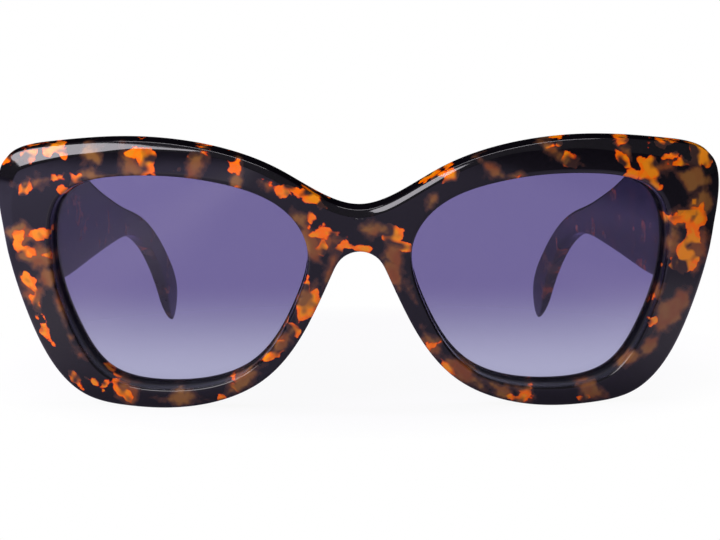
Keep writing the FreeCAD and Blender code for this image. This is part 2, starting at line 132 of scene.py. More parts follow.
# ---- Tortoiseshell chips
# Clear patches of the front as it is drawn: (x, z, half length, half width, turn), in tenths of a
# millimetre and degrees
AMBER = [
    (-703, 218, 15, 9, 40), (-665, 230, 30, 13, 28), (-620, 242, 16, 12, 10), (-598, 244, 18, 12, -55),
    (-668, 168, 20, 12, 60), (-612, 187, 20, 8, 20), (-562, 184, 19, 13, -50), (-588, 162, 16, 6, -35),
    (-442, 246, 26, 16, 10), (-422, 230, 34, 20, -60), (-433, 206, 16, 10, 90), (-354, 214, 9, 6, 20),
    (-318, 244, 16, 7, 15), (-248, 218, 17, 11, -50), (-242, 168, 11, 6, 60), (-184, 194, 11, 5, -20),
    (-152, 174, 18, 10, -25), (-102, 158, 44, 13, -30), (-98, 129, 22, 9, 90), (-68, 86, 29, 13, 5),
    (-73, 58, 19, 9, 90), (-42, 52, 15, 8, 55), (-12, 57, 20, 5, -5), (-686, 66, 20, 9, 50),
    (-638, 76, 27, 11, 14), (-662, 36, 32, 8, -8), (-668, -28, 24, 10, -60), (-655, -76, 22, 8, -62),
    (-640, -130, 19, 7, -60), (-588, -224, 19, 9, -55), (-534, -244, 17, 6, -35), (-522, -242, 12, 6, 60),
    (-509, -208, 18, 7, -60), (-484, -253, 26, 11, -62), (-282, -260, 12, 6, -45), (-251, -234, 16, 9, -70),
    (-172, -154, 34, 15, 38), (-138, -110, 22, 12, -60), (-104, -62, 38, 26, 62), (-108, -28, 18, 9, 80),
    (8, 55, 12, 5, 0), (66, 84, 27, 23, 20), (86, 60, 20, 7, -15), (182, 198, 16, 10, 35),
    (146, 196, 24, 6, 25), (302, 189, 13, 5, 30), (398, 258, 20, 9, 10), (414, 230, 23, 9, -60),
    (520, 260, 19, 8, 12), (610, 250, 17, 6, -5), (524, 225, 23, 8, -50), (576, 205, 34, 26, -40),
    (546, 194, 24, 14, 15), (588, 170, 25, 11, -30), (622, 224, 13, 6, 10), (688, 224, 36, 26, -50),
    (650, 206, 24, 9, 0), (636, 99, 29, 9, -5), (668, 28, 50, 31, 76), (682, 96, 36, 26, 70),
    (640, 6, 18, 12, 20), (682, 90, 24, 12, 80), (596, -113, 18, 9, 60), (590, -64, 12, 5, 80),
    (460, -272, 12, 5, -10), (336, -258, 22, 13, 55), (312, -266, 14, 6, 0), (178, -194, 23, 8, -50),
    (138, -148, 11, 5, 15), (248, -229, 12, 6, -10),
]
# Smoky brown patches, the same way
SMOKE = [
    (-530, 238, 26, 21, 40), (-530, 196, 32, 16, 0), (-644, 180, 42, 13, 14), (-450, 216, 48, 26, -68),
    (-326, 218, 48, 22, 62), (-242, 194, 40, 13, 85), (-680, 70, 38, 30, 0), (-645, 26, 46, 30, 0),
    (-630, -16, 30, 22, -70), (-664, -50, 42, 22, -62), (-606, -80, 46, 9, -75), (-566, -176, 18, 9, -45),
    (-474, -256, 36, 26, -70), (-364, -264, 48, 22, 0), (-238, -224, 48, 24, 40), (-154, -134, 40, 20, 50),
    (-106, -54, 46, 24, 65), (-98, 66, 44, 28, -62), (-60, 10, 40, 16, 72), (-118, 116, 30, 24, -60),
    (-64, 72, 30, 24, 0), (-180, 184, 20, 12, -30), (28, 92, 30, 22, 0), (64, 46, 32, 26, -60),
    (64, 6, 44, 22, -66), (144, 152, 20, 15, 60), (256, 216, 32, 18, -35), (316, 198, 18, 10, 0),
    (386, 246, 42, 16, -30), (530, 236, 22, 14, -50), (618, 204, 36, 15, 10), (672, 176, 40, 28, -20),
    (692, 120, 46, 30, 88), (640, 98, 40, 20, -5), (636, 46, 44, 20, -80), (688, 30, 52, 24, 80),
    (628, -100, 60, 34, 62), (600, -50, 24, 14, -60), (660, -80, 30, 18, 70), (552, -192, 36, 17, 20),
    (594, -164, 34, 20, 50), (470, -258, 44, 23, -28), (288, -248, 30, 18, -35), (208, -204, 60, 24, -40),
    (146, -148, 36, 16, -60), (336, -258, 28, 20, 55), (96, -26, 24, 10, -60),
]
PATCH_POWER = 1.08  # 2 would be ovals, 1 lozenges
# Painted glints: gold mixed into the clear end piece's colour where the hinge anchors stand behind it:
# (x, z, half width, half height), in millimetres
PAINTED_ANCHOR_GLINTS = [(66.0, 39.5, 1.9, 0.55), (67.5, 41.7, 0.4, 0.5)]


# ---- Curves
def smooth_through(points, at, wanted):
    """The natural cubic spline through points at the parameters at, read at the wanted parameters.

    Between two points the curve is a cubic whose second derivative runs evenly from one end's to the
    other's, and the second derivatives are those that leave no break in slope.
    """
    points = np.asarray(points, float)
    steps = np.diff(at)[:, None]
    slopes = np.diff(points, axis=0) / steps
    inner = np.arange(1, len(at) - 1)
    system = np.eye(len(at))
    system[inner, inner - 1] = steps[:-1, 0]
    system[inner, inner] = 2 * (steps[:-1, 0] + steps[1:, 0])
    system[inner, inner + 1] = steps[1:, 0]
    right = np.zeros_like(points)
    right[inner] = 6 * np.diff(slopes, axis=0)
    bend = np.linalg.solve(system, right)
    span = np.clip(np.searchsorted(at, wanted, side="right") - 1, 0, len(at) - 2)
    width = steps[span]
    after = (wanted - at[span])[:, None] / width
    before = 1 - after
    straight = points[span] * before + points[span + 1] * after
    swell = (before**3 - before) * bend[span] + (after**3 - after) * bend[span + 1]
    return straight + swell * width**2 / 6


def chords(points):
    """Running length of the straight lines between points."""
    lengths = np.linalg.norm(np.diff(np.asarray(points, float), axis=0), axis=1)
    return np.concatenate([[0.0], np.cumsum(lengths)])


def resampled(rows, at, wanted, period=None):
    """Rows of numbers known at some places, read in between at the wanted ones."""
    return np.stack([np.interp(wanted, at, column, period=period) for column in rows.T], axis=1)


def smooth_loop(points, count=4000):
    """A closed smooth curve through points: the middle one of three rounds of a cubic spline."""
    rounds = np.array(list(points) * 3 + [points[0]], float)
    at = chords(rounds)
    first, last = at[len(points)], at[2 * len(points)]
    return smooth_through(rounds, at, np.linspace(first, last, count + 1))[:-1]


def outwards(loop):
    """Unit normals of a closed run of points, on its left going round."""
    along = np.roll(loop, -1, axis=0) - np.roll(loop, 1, axis=0)
    normal = np.stack([-along[:, 1], along[:, 0]], axis=1)
    return normal / np.linalg.norm(normal, axis=1, keepdims=True)


def opening_edge():
    """The lens opening as a close run of points, and the way out of the opening at each."""
    loop = smooth_loop(OPENING)
    out = outwards(loop)
    return loop, out * np.sign(((loop - EYE_CENTRE) * out).sum())


def eye_turn(plan):
    """The turn of each point about the eye's centre, running on past a full turn."""
    return np.unwrap(np.arctan2(*(plan - EYE_CENTRE).T[::-1]))


def eased(share):
    """From 0 to 1 with no slope at either end: three squares less two cubes."""
    share = np.clip(share, 0, 1)
    return share * share * (3 - 2 * share)


# ---- The front's surfaces
def plan_depth(x):
    """Depth of the front surface at x: a shallow hollow over the bridge, a long arc beside it."""
    turn = math.asin(BRIDGE_HALF / BRIDGE_RADIUS)
    centre_x = BRIDGE_HALF + math.sin(turn) * FACE_RADIUS
    centre_y = math.cos(turn) * (BRIDGE_RADIUS + FACE_RADIUS) - BRIDGE_RADIUS
    x = np.abs(x)
    hollow = np.sqrt(BRIDGE_RADIUS**2 - np.minimum(x, BRIDGE_HALF) ** 2) - BRIDGE_RADIUS
    arc = centre_y - np.sqrt(FACE_RADIUS**2 - (np.maximum(x, BRIDGE_HALF) - centre_x) ** 2)
    return np.where(x < BRIDGE_HALF, hollow, arc)


def face_depth(plan):
    """Depth of the front surface at (x, z) rows: the plan arc turned about a level line behind it."""
    turn = math.asin(BRIDGE_HALF / BRIDGE_RADIUS)
    bow = math.cos(turn) * (BRIDGE_RADIUS + FACE_RADIUS) - BRIDGE_RADIUS
    return bow - np.sqrt((bow - plan_depth(plan[..., 0])) ** 2 - plan[..., 1] ** 2)


def wall_lean(plan):
    """How far a wall square to the face moves across and up for each millimetre of depth."""
    step = 0.01
    across = face_depth(plan + [step, 0]) - face_depth(plan - [step, 0])
    up = face_depth(plan + [0, step]) - face_depth(plan - [0, step])
    return -np.stack([across, up], -1) / (2 * step)


def turned(points, angle, first, second):
    """Points turned by an angle, from their first axis towards their second."""
    result = points.copy()
    c, s = math.cos(angle), math.sin(angle)
    result[..., first] = points[..., first] * c - points[..., second] * s
    result[..., second] = points[..., first] * s + points[..., second] * c
    return result


def leant(points):
    """Upright points leant forwards about the level line through the middle of the bridge."""
    return turned(points, LEAN, 1, 2)


def upright(points):
    """Leant points brought back upright."""
    return turned(points, -LEAN, 1, 2)


WHOLE_OUTLINE = OUTLINE + [(-x, z) for x, z in OUTLINE[-2:0:-1]]
FRONT_END = smooth_loop(WHOLE_OUTLINE)[:, 0].max()
END_FACE = leant(np.array([FRONT_END, face_depth(np.array([FRONT_END, HINGE_RISE])), HINGE_RISE]))[1]
SEAT_Y = END_FACE + END_THICKNESS - LEAF_PROUD


def seat_share(plan):
    """1 where the end piece is built out to its flat seat, 0 elsewhere, softly between.

    The seat lies beyond an upright edge and between a lower and an upper one, with rounded corners.
    """
    inner, foot, head = FRONT_END - SEAT_WIDTH, HINGE_RISE - SEAT_FOOT, HINGE_RISE + SEAT_HEAD
    outside = np.maximum(foot - plan[..., 1], plan[..., 1] - head)
    past = np.stack([inner - plan[..., 0], outside], -1) + SEAT_ROUND
    rounded = np.linalg.norm(np.maximum(past, 0), axis=-1)
    inside = SEAT_ROUND - rounded - np.minimum(past.max(-1), 0)
    return eased(inside / SEAT_BLEND + 0.5)


def back_depth(plan):
    """Depth of the back of the front at (x, z) rows: an even sheet, and the seat at each end."""
    sheet = face_depth(plan) + THICKNESS
    seat = (SEAT_Y + plan[..., 1] * math.sin(LEAN)) / math.cos(LEAN)
    return sheet + (np.maximum(seat, sheet) - sheet) * seat_share(plan)


def bevel_width(share):
    """Width of the face bevel at a share of the half outline, eased from station to station."""
    at, widths = np.array(BEVEL).T
    span = np.clip(np.searchsorted(at, share, side="right") - 1, 0, len(at) - 2)
    along = (share - at[span]) / (at[span + 1] - at[span])
    return widths[span] + (widths[span + 1] - widths[span]) * eased(along)


def lifted(plan, depth):
    """Points from (x, z) rows and the depth of each."""
    return np.stack([plan[..., 0], depth, plan[..., 1]], -1)


def evened(turn, spread):
    """Turns once round, with the steps from each to the next averaged over spread steps either side."""
    whole = math.copysign(2 * math.pi, turn[-1] - turn[0])
    steps = np.diff(turn, append=turn[0] + whole)
    padded = np.concatenate([steps[-spread:], steps, steps[:spread]])
    steps = np.convolve(padded, np.ones(2 * spread + 1) / (2 * spread + 1), "valid")
    return turn[0] + np.concatenate([[0.0], np.cumsum(steps)[:-1]])


def rounding(start, corner, end):
    """A soft corner: the parabola that leaves start towards corner and arrives at end from it."""
    t = np.linspace(0, 1, ROUND_STEPS)[:, None, None]
    return start * (1 - t) ** 2 + corner * 2 * t * (1 - t) + end * t**2


# ---- Meshes
def grid_faces(rows, columns, close_rows=False):
    """Four corners for each cell of a grid of points whose columns, and rows if asked, go right round."""
    row = np.arange(rows if close_rows else rows - 1)[:, None]
    column = np.arange(columns)[None, :]
    next_row, next_column = (row + 1) % rows, (column + 1) % columns
    corners = [row * columns + column, row * columns + next_column]
    corners += [next_row * columns + next_column, next_row * columns + column]
    return np.stack(np.broadcast_arrays(*corners), -1).reshape(-1, 4)


def new_object(name, data):
    thing = bpy.data.objects.new(name, data)
    bpy.context.scene.collection.objects.link(thing)
    return thing


def make_piece(name, points, faces, mirror=False):
    """A smooth closed mesh from points in millimetres, with doubled points merged and faces outward."""
    if mirror:
        points = mirrored(points)
    mesh = bpy.data.meshes.new(name)
    mesh.from_pydata((points * MM).tolist(), [], faces.tolist())
    work = bmesh.new()
    work.from_mesh(mesh)
    bmesh.ops.remove_doubles(work, verts=work.verts, dist=MERGE)
    bmesh.ops.dissolve_degenerate(work, edges=work.edges, dist=MERGE / 4)
    bmesh.ops.recalc_face_normals(work, faces=work.faces)
    work.to_mesh(mesh)
    work.free()
    mesh.shade_smooth()
    return new_object(name, mesh)


def mesh_points(piece):
    """A piece's points, in millimetres."""
    points = np.zeros(len(piece.data.vertices) * 3, np.float32)
    piece.data.vertices.foreach_get("co", points)
    return points.reshape(-1, 3).astype(float) / MM


def give_attribute(piece, name, values):
    """One number for each point of a piece."""
    piece.data.attributes.new(name, "FLOAT", "POINT").data.foreach_set("value", values.astype(np.float32))


def mirrored(points):
    """Points on the other side of the middle plane."""
    return points * [-1, 1, 1]


# ---- Front
EDGE_STEPS = 420  # round the half outline
MIDDLE_STEPS = 22  # down the middle of the bridge
TURN_SPREAD = 25  # columns either side
FACE_RINGS = 22
BACK_RINGS = 28
ROUND_STEPS = 5
WALL_RINGS = np.array([0.08, 0.35, 0.65, 0.95])[:, None, None]  # down the outer wall
OPENING_RINGS = np.array([0.06, 0.5, 0.94])[:, None, None]  # up the wall of the opening
BEVEL_ROUND = 0.32  # softened edges of the bevel, at most
BEVEL_ROUND_SHARE = 0.45  # and at most this share of its width
MARGIN = 0.12  # from a softened edge to the next ring
ON_MIDDLE = 1e-6


def half_front():
    """Points and faces of the left half of the front, upright.

    The rows are rings round the lens, each at one place of the rim's section, and the columns run out
    from the lens at the same turn about the eye's centre. The section goes over the face, round the
    bevel, down the outer wall, over the back and up the wall of the opening.
    """
    loop = smooth_loop(WHOLE_OUTLINE, 8000)
    normals = outwards(loop)
    normals *= np.sign(normals[0, 1])
    kept = loop[:, 0] >= 0
    half, half_normals = loop[kept], normals[kept]
    low = half[:, 1] < EYE_CENTRE[1]
    order = np.argsort(np.where(half[:, 0] < ON_MIDDLE, low, np.arange(len(half)) / len(half)))
    half, half_normals = half[order], half_normals[order]
    half[0, 0] = half[-1, 0] = 0.0
    lengths = chords(half)
    wanted = np.linspace(0, lengths[-1], EDGE_STEPS)
    edge = resampled(half, lengths, wanted)
    inwards = -resampled(half_normals, lengths, wanted)
    inwards[[0, -1]] = [[0, -1], [0, 1]]
    inwards /= np.linalg.norm(inwards, axis=1, keepdims=True)
    share = wanted / lengths[-1]
    drop = np.linspace(0, 1, MIDDLE_STEPS + 2)[1:-1, None]

    def outer_ring(inset):
        """The half outline moved in by inset, closed down the middle of the bridge."""
        moved = edge + inwards * inset[:, None]
        return np.concatenate([moved, moved[-1] + (moved[0] - moved[-1]) * drop])

    none = np.zeros(EDGE_STEPS)
    opening, spread = opening_edge()
    turn = evened(eye_turn(outer_ring(none)), TURN_SPREAD)
    opening_turn = eye_turn(opening)
    order = np.argsort(opening_turn)

    def opening_ring(distance):
        """The opening moved out by distance, read at the turns of the outline's points."""
        moved = opening + spread * distance
        return resampled(moved[order], opening_turn[order], turn, 2 * math.pi)

    def outer_line(inset, depth):
        """A ring near the outline, this far behind the face."""
        plan = outer_ring(inset)
        tail = np.linspace(depth[-1], depth[0], MIDDLE_STEPS + 2)[1:-1]
        return lifted(plan, face_depth(plan) + np.concatenate([depth, tail]))

    def outer_back_line(inset, rise):
        plan = outer_ring(np.full(EDGE_STEPS, inset))
        return lifted(plan, back_depth(plan) - rise)

    def opening_line(distance, depth):
        """A ring on the wall of the opening, which is square to the face and true at the lens."""
        plan = opening_ring(distance)
        plan = plan + wall_lean(plan) * (depth - LENS_SET_BACK)
        return lifted(plan, face_depth(plan) + depth)

    def opening_back_line(distance, rise):
        plan = opening_ring(distance)
        plan = plan + wall_lean(plan) * (THICKNESS - rise - LENS_SET_BACK)
        return lifted(plan, back_depth(plan) - rise)

    def eased_corner(line, ease):
        """The soft corner where a wall meets the face or the back, taking ease off both."""
        return rounding(line(0.0, ease), line(0.0, 0.0), line(ease, 0.0))

    def between(first, last, count, depth_of):
        """Rings spaced evenly from one ring to another, each set on a depth of its own."""
        t = np.linspace(0, 1, count + 2)[1:-1, None, None]
        plan = first[None, :, ::2] * (1 - t) + last[None, :, ::2] * t
        return lifted(plan, depth_of(plan))

    width = bevel_width(share)
    soft = np.minimum(BEVEL_ROUND, BEVEL_ROUND_SHARE * width)
    face_start = opening_line(OPENING_EASE + MARGIN, 0.0)
    face_end = outer_line(width + soft + MARGIN, none)
    bevel_top = rounding(
        outer_line(width + soft, none), outer_line(width, none),
        outer_line(width - soft, soft * BEVEL_SLOPE),
    )
    bevel_middle = outer_line(width * 0.5, width * 0.5 * BEVEL_SLOPE)
    bevel_foot = rounding(
        outer_line(soft, (width - soft) * BEVEL_SLOPE), outer_line(none, width * BEVEL_SLOPE),
        outer_line(none, width * BEVEL_SLOPE + soft),
    )
    back_corner = eased_corner(outer_back_line, BACK_EASE)
    wall = bevel_foot[-1] + (back_corner[0] - bevel_foot[-1]) * WALL_RINGS
    back_start = outer_back_line(BACK_EASE + MARGIN, 0.0)
    back_end = opening_back_line(BACK_EASE + MARGIN, 0.0)
    opening_back = eased_corner(opening_back_line, BACK_EASE)[::-1]
    opening_front = eased_corner(opening_line, OPENING_EASE)
    inner_wall = opening_back[-1] + (opening_front[0] - opening_back[-1]) * OPENING_RINGS
    rows = np.concatenate([
        face_start[None], between(face_start, face_end, FACE_RINGS, face_depth), face_end[None],
        bevel_top, bevel_middle[None], bevel_foot, wall, back_corner, back_start[None],
        between(back_start, back_end, BACK_RINGS, back_depth), back_end[None],
        opening_back, inner_wall, opening_front,
    ])
    faces = grid_faces(len(rows), rows.shape[1], close_rows=True)
    points = rows.reshape(-1, 3)
    on_middle = (np.abs(points[:, 0]) < ON_MIDDLE)[faces].all(axis=1)
    return points, faces[~on_middle]


FARTHEST = -6.0  # a place farther outside every patch counts as this far


def patch_field(points, patches):
    """How far inside the nearest patch a point is, in millimetres, negative outside.

    A patch is where the sum of the two turned distances, each over its half size and to the power
    PATCH_POWER, is under one.
    """
    field = np.full(len(points), FARTHEST)
    for *tenths, turn in patches:
        x, z, long, wide = [value / 10 for value in tenths]
        turn = math.radians(turn)
        across, up = points[:, 0] - x, points[:, 1] - z
        along = np.abs(across * math.cos(turn) + up * math.sin(turn)) / long
        beside = np.abs(up * math.cos(turn) - across * math.sin(turn)) / wide
        reach = (along**PATCH_POWER + beside**PATCH_POWER) ** (1 / PATCH_POWER)
        field = np.maximum(field, (1 - reach) * min(long, wide))
    return field


WALL_REACH = 1.9  # all of the opening's wall lies this near to its edge on the plan
WALL_START = 0.05  # and is matt from this far behind the lens's face


def sawn_share(plan, depth):
    """1 on the wall of the opening behind the lens, which is left matt, and 0 elsewhere."""
    opening = smooth_loop(OPENING, 400)
    plan = np.stack([np.abs(plan[:, 0]), plan[:, 1]], 1)
    away = np.sqrt(((plan[:, None] - opening) ** 2).sum(-1).min(axis=1))
    behind = depth - face_depth(plan) - LENS_SET_BACK
    return ((away < WALL_REACH) & (behind > WALL_START)).astype(float)


FRONT_POINTS, FRONT_FACES = half_front()
FRONT_POINTS = leant(FRONT_POINTS)
FRONT_LOW = np.array(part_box("front")[0]) / MM
# From the drawing's frame, once leant, to the part's frame
SHIFT = (FRONT_LOW - FRONT_POINTS.min(axis=0)) * [0, 1, 1]
PIN = np.array(frame["joints"][0]["pos_m"]) / MM


def build_front():
    """The left half and its mirror image, with the chips' fields as attributes."""
    points, faces = FRONT_POINTS + SHIFT, FRONT_FACES
    both = np.concatenate([points, mirrored(points)])
    piece = make_piece("acetate_front", both, np.concatenate([faces, faces[:, ::-1] + len(points)]))
    drawn = upright(mesh_points(piece) - SHIFT)
    plan = drawn[:, ::2]
    give_attribute(piece, "amber", patch_field(plan, AMBER))
    give_attribute(piece, "smoke", patch_field(plan, SMOKE))
    give_attribute(piece, "sawn", sawn_share(plan, drawn[:, 1]))
    return piece


# ---- Lenses
LENS_RINGS = 26
LENS_STEPS = 260


def build_lens(name, mirror):
    """A bowed sheet: rings from the eye's centre to the edge, in front and behind, joined at the rim."""
    loop, spread = opening_edge()
    edge = (loop + spread * GROOVE_DEPTH)[:: len(loop) // LENS_STEPS]
    out = np.linspace(0, 1, LENS_RINGS)[:, None, None]
    plan = EYE_CENTRE + (edge - EYE_CENTRE) * out
    front = lifted(plan, face_depth(plan) + LENS_SET_BACK)
    back = lifted(plan, face_depth(plan) + LENS_SET_BACK + LENS_THICKNESS)
    rows = np.concatenate([front, back[::-1]])
    faces = grid_faces(len(rows), len(edge))
    return make_piece(name, leant(rows.reshape(-1, 3)) + SHIFT, faces, mirror)


# ---- Nose pads
PAD_STEPS = 64
CROWN_STEPS = 12
SPINE_RUN = 4  # how many times faster than the cosine the outline crosses its straight sides


def build_pad(name, mirror):
    """A slot-shaped stub with a domed top: the outline shrinks towards its spine as it rises."""
    run, radius = (PAD_LENGTH - PAD_WIDTH) / 2, PAD_WIDTH / 2
    turn = np.linspace(0, 2 * math.pi, PAD_STEPS, endpoint=False)
    spine = np.clip(np.cos(turn) * SPINE_RUN, -1, 1) * run
    crown = np.linspace(0, math.pi / 2, CROWN_STEPS)
    height = PAD_ROOT + PAD_HEIGHT
    levels = np.concatenate([[0, height * 0.5], height - PAD_DOME + PAD_DOME * np.sin(crown)])
    reach = np.concatenate([[1, 1], 1 - (PAD_DOME / radius) * (1 - np.cos(crown))])
    reach[-1] = 0.0
    across = radius * np.outer(reach, np.sin(turn))
    along = spine + radius * np.outer(reach, np.cos(turn))
    rows = np.stack([along, np.broadcast_to(levels[:, None], along.shape), across], -1)
    rows = np.concatenate([rows[:1] * [1, 1, 0], rows])
    points = rows.reshape(-1, 3)
    points = turned(turned(points, PAD_SPLAY, 1, 2), -PAD_TURN, 0, 2)
    x, z = PAD_CENTRE
    points += [x, face_depth(np.array([x, z])) + THICKNESS - PAD_ROOT, z]
    faces = grid_faces(len(rows), len(turn))
    return make_piece(name, leant(points) + SHIFT, faces, mirror)


# ---- Temples
TEMPLE_STEPS = 110
TIP_STEPS = 22
BLADE_LENGTH = 17.0
BLADE_POWER = 1.8
EAR_LENGTH = 60.0  # the temple grows thinner over this length before its tip
EAR_THINNING = 0.22
CORNER_STEPS = 6
FLAT_SHARES = (0.0, 0.6, 0.97)  # points up the flat side, as shares of its half height
TOP_SHARE = 0.92
END_EASE = 0.25  # softened edge of the temple's front end
END_FLAT = [0.9, 1, 0.985]  # the flat of that end as a share of the section: across, back, up


def temple_line():
    """Side view of the temple: middles (back, height), widths, and the way along at each."""
    middles = [(back, PIN[2] + rise) for back, rise, width in PLANK] + [place[:2] for place in EAR]
    widths = [place[2] for place in PLANK + EAR]
    at = chords(middles)
    known = np.column_stack([middles, widths])
    start = np.interp(0.0, [place[0] for place in PLANK[:2]], at[:2])
    wanted = [start + np.array([-0.6, 0, 0.12]), np.linspace(start + 0.6, at[-1], TEMPLE_STEPS)]
    line = smooth_through(known, at, np.concatenate(wanted))
    end = line[-1]
    way = end[:2] - line[-2, :2]
    way /= np.linalg.norm(way)
    turn = np.linspace(0, math.pi / 2, TIP_STEPS + 1)[1:, None]
    tip = np.hstack([end[:2] + way * TIP_LENGTH * np.sin(turn), end[2] * np.cos(turn)])
    line = np.concatenate([line, tip])
    way = np.gradient(line[:, :2], axis=0)
    way /= np.linalg.norm(way, axis=1, keepdims=True)
    way[-TIP_STEPS:] = way[-TIP_STEPS - 1]
    return line, way


def section_ring(side, rise, ease):
    """One section: a rectangle with rounded corners, as (across, up) pairs going round."""
    turn = np.linspace(0, math.pi / 2, CORNER_STEPS)
    arc = np.stack([side - ease + ease * np.cos(turn), rise - ease + ease * np.sin(turn)], 1)
    flat = [(side, (rise - ease) * share) for share in FLAT_SHARES]
    top = [((side - ease) * TOP_SHARE, rise)]
    quarter = np.concatenate([flat, arc, top])
    half = np.concatenate([quarter, [(0.0, rise)], (quarter * [-1, 1])[::-1]])
    return np.concatenate([half[:-1], -half[:-1]])


def build_temple(name, mirror):
    """The section carried along the side view's line, bent inwards round the ear and tapered.

    The first ring is set on the upright plane of the seat. Past the last section the width falls as
    a half oval. The thickness is taken off the inner side: a part of it over the ear, eased in, and all
    of it at the tip, where what is kept is one less a power of the share of the blade already passed.
    """
    line, way = temple_line()
    side = TEMPLE_THICKNESS / 2 - LEAF_PROUD
    left = chords(line[::-1, :2])[::-1]
    kept = 1 - (1 - np.clip(left / BLADE_LENGTH, 0, 1)) ** BLADE_POWER
    kept *= 1 - EAR_THINNING * eased(1 - left / EAR_LENGTH)
    rise = line[:, 2] / 2
    ease = np.minimum(TEMPLE_EASE, TEMPLE_EASE_SHARE * rise)
    rings = np.array([section_ring(side, *sizes) for sizes in zip(rise, ease)])
    rings[..., 0] = side - (side - rings[..., 0]) * kept[:, None]
    radius = EAR_BEND_RADIUS + TEMPLE_THICKNESS / 2
    bend = np.arcsin(np.maximum(0.0, line[:, 0] - EAR_BEND_START) / radius)
    across = np.stack([np.cos(bend), np.sin(bend), np.zeros(len(line))], 1)
    middle = np.stack([np.cos(bend) * radius - EAR_BEND_RADIUS, line[:, 0], line[:, 1]], 1)
    along = np.stack([-way[:, 0] * np.tan(bend), way[:, 0], way[:, 1]], 1)
    along /= np.linalg.norm(along, axis=1, keepdims=True)
    up = np.cross(across, along)
    points = middle[:, None] + across[:, None] * rings[..., :1] + up[:, None] * rings[..., 1:]
    points = turned(points, TEMPLE_TAPER, 0, 1)
    c, s = math.cos(TEMPLE_TAPER), math.sin(TEMPLE_TAPER)
    forward = np.array([-s, c, 0.0])
    for ring, inset in ((0, 0.0), (1, 0.0), (2, END_EASE)):
        points[ring] += forward * (inset - points[ring, :, 1:2]) / c
    end_middle = points[1].mean(axis=0)
    points[0] = end_middle
    points[1] = end_middle + (points[1] - end_middle) * END_FLAT
    pin_from_face = (KNUCKLE_RADIUS + SWING_GAP + KNUCKLE_RADIUS * s) / c
    points += [PIN[0] + pin_from_face, PIN[1] - KNUCKLE_RADIUS, 0.0]
    faces = grid_faces(len(rings), rings.shape[1])
    return make_piece(name, points.reshape(-1, 3), faces, mirror)


# ---- Materials
class Nodes:
    """A node tree, with short calls to add nodes and join them."""

    def __init__(self, tree, output):
        self.tree = tree
        tree.nodes.clear()
        self.output = self.add(output)

    def add(self, kind, sockets=None, **settings):
        """A new node with its settings, and its sockets, by name or number, joined or set."""
        node = self.tree.nodes.new(kind)
        for name, value in settings.items():
            setattr(node, name, value)
        for name, value in (sockets or {}).items():
            self.put(node.inputs[name], value)
        return node

    def put(self, socket, value):
        """Joins a socket to another, or sets its value."""
        if isinstance(value, bpy.types.NodeSocket):
            self.tree.links.new(value, socket)
        else:
            socket.default_value = value

    def blended(self, share, first, second):
        """Joins two shaders to the output: the first where share is 0, the second where it is 1."""
        mixer = self.add("ShaderNodeMixShader", {0: share, 1: first.outputs[0], 2: second.outputs[0]})
        self.put(self.output.inputs[0], mixer.outputs[0])

    def seen(self):
        """1 for what the camera sees straight or through glass, 0 for reflections and light."""
        path = self.add("ShaderNodeLightPath")
        return self.maths("MAXIMUM", path.outputs["Is Camera Ray"], path.outputs["Is Transmission Ray"])

    def maths(self, operation, *values, clamp=False):
        sockets = dict(enumerate(values))
        return self.add("ShaderNodeMath", sockets, operation=operation, use_clamp=clamp).outputs[0]

    def vectors(self, operation, *values):
        """The outputs of a sum on vectors."""
        return self.add("ShaderNodeVectorMath", dict(enumerate(values)), operation=operation).outputs

    def place(self):
        """Object coordinates, in metres."""
        return self.add("ShaderNodeTexCoord").outputs["Object"]

    def mapped(self, scale, turn=(0, 0, 0)):
        """Object coordinates, turned, with scale units to the metre."""
        scales = scale if isinstance(scale, tuple) else (scale,) * 3
        sockets = {"Vector": self.place(), "Rotation": turn, "Scale": scales}
        return self.add("ShaderNodeMapping", sockets).outputs[0]

    def axes(self, vector):
        """The X, Y and Z of a vector, as sockets."""
        return self.add("ShaderNodeSeparateXYZ", {0: vector}).outputs

    def noise(self, vector, scale, detail=2.0, output="Fac"):
        sockets = {"Vector": vector, "Scale": scale, "Detail": detail}
        return self.add("ShaderNodeTexNoise", sockets).outputs[output]

    def chips(self, vector, scale):
        """Angular cells: the distance to each cell's point, counted along the three axes."""
        sockets = {"Vector": vector, "Scale": scale}
        return self.add("ShaderNodeTexVoronoi", sockets, distance="MANHATTAN").outputs["Distance"]

    def ramp(self, value, low, high, smooth=False):
        """From 0 at low to 1 at high."""
        sockets = {"Value": value, "From Min": low, "From Max": high}
        kind = "SMOOTHSTEP" if smooth else "LINEAR"
        return self.add("ShaderNodeMapRange", sockets, interpolation_type=kind).outputs["Result"]

    def mix(self, share, first, second):
        sockets = {"Factor": share, 6: first, 7: second}
        return self.add("ShaderNodeMix", sockets, data_type="RGBA").outputs[2]

    def moved(self, vector, amount, scale):
        """A vector pushed about by soft noise."""
        push = self.vectors("SUBTRACT", self.noise(vector, scale, 2.0, "Color"), (0.5, 0.5, 0.5))
        return self.vectors("MULTIPLY_ADD", push[0], (amount,) * 3, vector)[0]

    def attribute(self, name):
        return self.add("ShaderNodeAttribute", attribute_name=name).outputs["Fac"]

    def worn_edges(self):
        """1 on sharp outer edges, 0 on flats and in hollows."""
        return self.ramp(self.add("ShaderNodeNewGeometry").outputs["Pointiness"], 0.52, 0.6)


